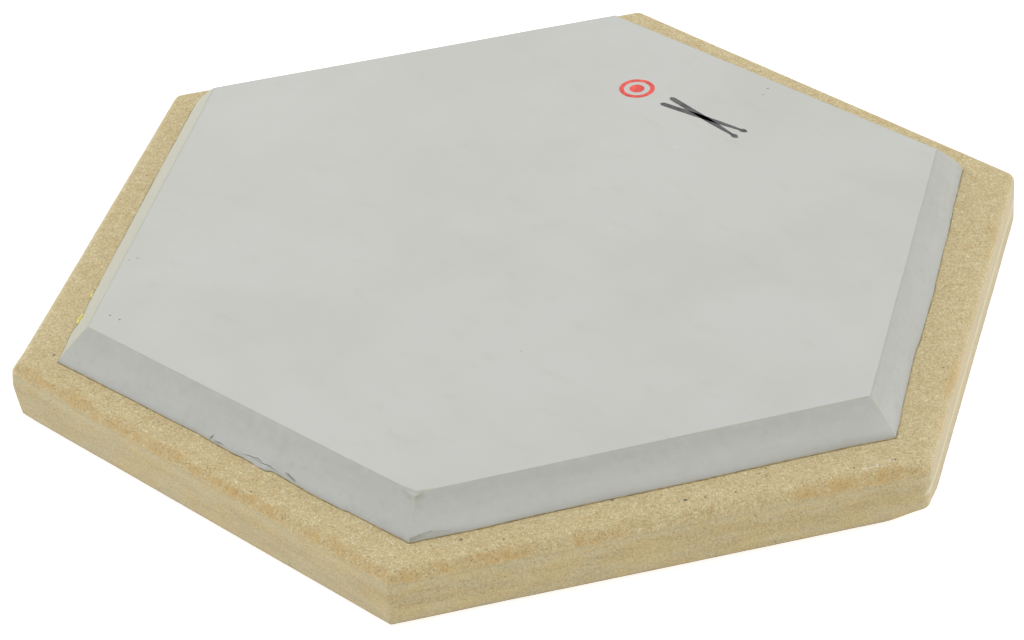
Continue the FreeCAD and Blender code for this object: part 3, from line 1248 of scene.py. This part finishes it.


# Lines of painted shade: in the creases of the pressed front corner, along the top and face of the lip
# beside it, and along three cracks of the near side
CREASE_SHADE = [
    crease(0, (0.966, 0.92), (0.988, 0.84), 0.8, 0.16),
    crease(1, (0.003, 0.91), (0.019, 0.965), 0.45, 0.36),
    crease(1, (0.004, 0.86), (0.014, 0.89), 1.3, 0.20),
    crease(1, (0.004, 0.00), (0.022, 0.00), 0.35, 0.45),
    crease(1, (0.022, 0.00), (0.046, 0.00), 0.35, 0.45),
    crease(1, (0.046, 0.00), (0.085, 0.00), 0.30, 0.35),
    crease(1, (0.006, -0.04), (0.036, -0.07), 0.55, 0.34),
    crease(1, (0.036, -0.07), (0.062, -0.05), 0.35, 0.22),
    crease(0, (0.449, 0.02), (0.453, 0.12), 0.5, 0.40),
    crease(0, (0.660, 0.105), (0.688, 0.035), 0.5, 0.40),
    crease(0, (0.463, 0.02), (0.486, 0.03), 0.4, 0.30),
]
# Specks in the playing face, in mm: x, y, radius and strength
SPECKS = [
    (-56.9, -97.3, 0.45, 0.6), (-53.5, -97.0, 0.45, 0.7), (-73.0, -76.2, 0.35, 0.5),
    (-71.9, -74.2, 0.4, 0.6), (-1.3, 99.8, 0.5, 0.6),
]


def gum_rubber():
    f = Finish("gum_rubber", Specular_IOR_Level=0.3)
    top, bottom = SLAB_TOP / MM, SLAB_BOTTOM / MM
    z = f.height()
    face = z.ease(top - 0.06, top - 0.01)
    slope = 1 - face

    haze = f.cloud(38, detail=3.0, roughness=0.55)
    smear = f.cloud((11, 5, 6), detail=3.0, turn=24)
    fine = f.cloud(0.45, detail=2.0, roughness=0.6)
    body = f.mix(haze.ease(0.35, 0.65), tone(190, 191, 185), tone(194, 195, 190))
    body = f.coats(
        body,
        (smear.ease(0.60, 0.78) * face * 0.30, 183, 184, 176),
        (fine.ease(0.35, 0.7) * 0.10, 204, 204, 199))

    cut = f.cloud((14, 14, 1.1), detail=3.0)
    body = f.coats(body, (slope * cut.ease(0.35, 0.7) * 0.35, 184, 186, 181))
    # Painted light: the slopes lighter and bluer towards their foot
    low = z.ease(bottom + 3.5, bottom + 0.3) * slope
    body = f.coats(body, (low * 0.4, 190, 195, 195))
    arris = z.ease(top - 0.32, top - 0.16) * z.ease(top - 0.005, top - 0.05)
    body = f.coats(body, (arris * 0.6, 182, 182, 164))

    # Painted shade: the slopes darker towards the brow
    body = f.coats(body, (slope * (0.03 + 0.31 * z.ease(bottom, top)), 150, 151, 145))
    rubbing_and_highlight = f.cloud((2.6, 2.6, 2.2), detail=3.0, shift=(9, 4, 2))
    body = f.coats(
        body,
        (slope * rubbing_and_highlight.ease(0.54, 0.70) * 0.12, 206, 207, 202),
        (slope * rubbing_and_highlight.ease(0.46, 0.30) * 0.12, 150, 150, 142))
    # Painted light: a yellowish glint on the slopes that look left, and the near right slope painted lighter
    # towards its foot
    left_slope_glint = f.facing(LEFT_SIDE).ease(0.50, 0.70) * slope
    near_right_foot_light = f.facing(NEAR_RIGHT_SIDE).ease(0.55, 0.74) * slope * z.ease(top - 1.0, bottom + 1.5)
    body = f.coats(
        body,
        (near_right_foot_light * 0.30, 206, 207, 202),
        (left_slope_glint * 0.40, 190, 188, 160))
    # Painted highlight: a pale yellowish line up each corner of the slab's slopes
    for foot, brow in zip(slab_foot, slab_brow):
        corner_line = f.stroke(foot / MM, brow / MM, 0.55)
        body = f.mix(corner_line * 0.55, body, tone(188, 189, 168))

    specks = f.specks(13, 0.025, 0.26, shift=5.0)
    motes = f.specks(6, 0.045, 0.16, shift=15.0)
    pale = f.specks(9, 0.045, 0.14, shift=31.0)
    body = f.coats(
        body,
        (specks * 0.75, 112, 112, 108),
        (motes * 0.28, 146, 146, 140),
        (pale * 0.45, 222, 222, 217))
    # Painted shade in creases, along cracks and on the lip
    for start, end, radius, strength in CREASE_SHADE:
        body = f.mix(f.stroke(start, end, radius) * strength, body, tone(140, 140, 118))
    for x, y, radius, strength in SPECKS:
        body = f.mix(f.spot(x, y, top, radius) * strength, body, tone(84, 84, 82))

    rough = 0.62 + 0.10 * smear.ease(0.4, 0.7) - 0.08 * arris
    relief = fine * 0.6 + cut * slope * 0.8 - specks * 0.8
    return f.feed(Base_Color=body, Roughness=rough, Normal=f.bump(relief, 0.02, 0.4))


rubber_finish = gum_rubber()
dress(slab, rubber_finish)
print("gum rubber nodes:", len(rubber_finish.node_tree.nodes))

# %% [markdown]
# ## Glue, ink, zinc, tape and foot rubber
#
# The small finishes each have one thing to show. Glue is amber and glossy where it is thick and a
# dark hairline where it is thin, a hairline that also stands for painted shade at the slab's foot. Ink is
# slightly broken, so the rubber's grain shows through. Zinc is bright with a faint brushed direction.
# Foot rubber is black and holds dust.

# %% The small finishes
def cement():
    f = Finish("contact_cement_finish", Specular_IOR_Level=0.5)
    lumps = f.cloud(1.6, detail=2.0)
    thick = f.height().ease(SLAB_BOTTOM / MM + 0.02, SLAB_BOTTOM / MM + 0.16)
    # The thin glue's dark tone also stands for painted shade at the foot of the slab
    thin_tone = f.mix(lumps.ease(0.35, 0.65), tone(138, 128, 96), tone(170, 154, 112))
    thick_tone = f.mix(lumps.ease(0.3, 0.7), tone(214, 200, 92), tone(232, 222, 140))
    colour = f.mix(thick, thin_tone, thick_tone)
    return f.feed(Base_Color=colour, Roughness=0.5 - 0.22 * thick, Normal=f.bump(lumps, 0.06, 0.5))


def ink(name, colour):
    f = Finish(name, Specular_IOR_Level=0.3)
    grain = f.cloud(0.35, detail=3.0, roughness=0.7)
    blotch = f.cloud(2.2, detail=2.0, shift=3.0)
    lighter = [min(1, value * 1.35 + 0.02) for value in colour[:3]]
    body = f.mix(blotch.ease(0.3, 0.7), colour, lighter)
    body = f.coats(body, (grain.ease(0.62, 0.74) * 0.55, 200, 200, 194))
    return f.feed(Base_Color=body, Roughness=0.55 + 0.15 * grain, Normal=f.bump(grain, 0.01, 0.4))


def zinc():
    f = Finish("bright_zinc", Metallic=1.0)
    brushed = f.cloud((0.3, 4, 0.3), detail=3.0, turn=30)
    stain = f.cloud(5, detail=3.0)
    colour = f.mix(stain.ease(0.4, 0.65), tone(205, 208, 208), tone(214, 207, 180))
    rough = 0.24 + 0.22 * brushed
    return f.feed(Base_Color=colour, Roughness=rough, Normal=f.bump(brushed, 0.01, 0.5))


def foot_rubber():
    f = Finish("black_foot_rubber", Specular_IOR_Level=0.35)
    grain = f.cloud(0.25, detail=3.0, roughness=0.7)
    dust = f.cloud(3.5, detail=4.0, roughness=0.7)
    colour = f.mix(dust.ease(0.52, 0.75) * 0.35, tone(34, 34, 35), tone(112, 108, 100))
    return f.feed(Base_Color=colour, Roughness=0.6 + 0.25 * dust, Normal=f.bump(grain, 0.02, 0.6))


def tape():
    f = Finish("white_foam_tape", Specular_IOR_Level=0.3)
    cells = f.cloud(0.3, detail=2.0)
    grime = f.cloud(6, detail=3.0)
    colour = f.mix(grime.ease(0.5, 0.75) * 0.5, tone(232, 232, 226), tone(206, 200, 182))
    return f.feed(Base_Color=colour, Roughness=0.75 + 0.1 * cells, Normal=f.bump(cells, 0.03, 0.6))


dress(glue, cement())
dress(ring, ink("red_ink", tone(209, 78, 70)))
dress(sticks, ink("grey_ink", tone(78, 78, 78)))
dress(nut, zinc())
black_rubber = foot_rubber()
for foot in feet:
    dress(foot, black_rubber)
dress(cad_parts["foot_tapes"], tape())
print("materials:", len(bpy.data.materials))

# %% [markdown]
# ## Everything rides on the one rigid body
#
# Nothing on this pad moves against anything else. Each piece is listed with the CAD node that it stands
# for and a material slot name. It is hung on the one body, and its CAD node is hidden.

# %% Bind the pieces to the frame
BINDINGS = [
    (board, "base_board", "mdf"),
    (slab, "playing_pad", "gum_rubber"),
    (glue, "pad_adhesive", "contact_cement"),
    (ring, "printed_ring", "red_print"),
    (sticks, "printed_sticks", "grey_print"),
    (nut, "tee_nut", "zinc_plated_steel"),
]
BINDINGS += [(foot, "foot_%d" % (i + 1), "foot_rubber") for i, foot in enumerate(feet)]
for piece, node, slot in BINDINGS:
    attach(piece, "root")
    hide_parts(node)
print("pieces:", ", ".join(piece.name for piece, node, slot in BINDINGS))

# %% [markdown]
# ## A product table and soft light
#
# The pad lies on white, lit from all round like a catalogue shot: a bright room does most of the
# work, soft panels overhead, at both sides and behind give the slopes their shape, and the floor is a
# light table that glows faintly, so that the lower edges aren't lost in shadow.

# %% Floor
bpy.ops.mesh.primitive_plane_add(size=6.0, location=(0, 0, 0))
floor = name_piece("floor")


def paper():
    f = Finish("white_paper", Specular_IOR_Level=0.1, Emission_Color=(1, 1, 1, 1), Emission_Strength=0.8)
    fibre = f.cloud(2.0, detail=2.0)
    colour = f.mix(fibre, tone(194, 194, 194), tone(198, 198, 198))
    return f.feed(Base_Color=colour, Roughness=0.9 + 0.05 * fibre)


dress(floor, paper())


# %% Lights and room
def soft_light(name, azimuth, elevation, distance, size, watts):
    """A square light that looks at the pad. Azimuth 0 is on the player's side, 90 to the right."""
    data = bpy.data.lights.new(name, "AREA")
    data.shape = "SQUARE"
    data.size = size
    data.energy = watts
    light = bpy.data.objects.new(name, data)
    bpy.context.collection.objects.link(light)
    a, e = math.radians(azimuth), math.radians(elevation)
    back = Vector((math.sin(a) * math.cos(e), -math.cos(a) * math.cos(e), math.sin(e)))
    light.location = back * distance
    light.rotation_euler = back.to_track_quat("Z", "Y").to_euler()
    return light


LIGHTS = [
    # name, azimuth, elevation, distance, size, watts
    ("overhead_panel", -16, 75, 1.6, 1.4, 12.6),
    ("left_panel", -75, 24, 1.6, 1.3, 8.9),
    ("right_panel", 138, 24, 1.6, 1.3, 10.6),
    ("far_panel", 225, 36, 1.8, 1.4, 3.8),
]
for numbers in LIGHTS:
    soft_light(*numbers)

world = bpy.data.worlds.new("white_room")
bpy.context.scene.world = world
world.use_nodes = True
background = world.node_tree.nodes["Background"]
background.inputs["Color"].default_value = (1.0, 1.0, 1.0, 1.0)
background.inputs["Strength"].default_value = 0.376
bpy.context.scene.view_settings.view_transform = "Standard"

# %% [markdown]
# ## The camera
#
# A long lens from just over a metre, looking down at about a third of a right angle. It was held
# three degrees out of level, and that roll is part of the view.

# %% Camera
CAMERA_AZIMUTH = math.radians(45.66)
CAMERA_ELEVATION = math.radians(33.80)
CAMERA_ROLL = math.radians(-2.93)
CAMERA_DISTANCE = 1.180
CAMERA_TARGET = Vector((-0.0004, -0.0058, BOARD_BOTTOM))

camera_data = bpy.data.cameras.new("camera")
camera_data.lens = 154.2
camera_data.sensor_width = 36.0
camera = bpy.data.objects.new("camera", camera_data)
bpy.context.collection.objects.link(camera)
turned = Matrix.Rotation(CAMERA_AZIMUTH, 4, "Z") @ Matrix.Rotation(math.pi / 2 - CAMERA_ELEVATION, 4, "X")
turned = turned @ Matrix.Rotation(CAMERA_ROLL, 4, "Z")
stand = CAMERA_TARGET + turned.to_3x3() @ Vector((0, 0, CAMERA_DISTANCE))
camera.matrix_world = Matrix.Translation(stand) @ turned
bpy.context.scene.camera = camera
print("camera stands at", [round(v, 3) for v in stand])
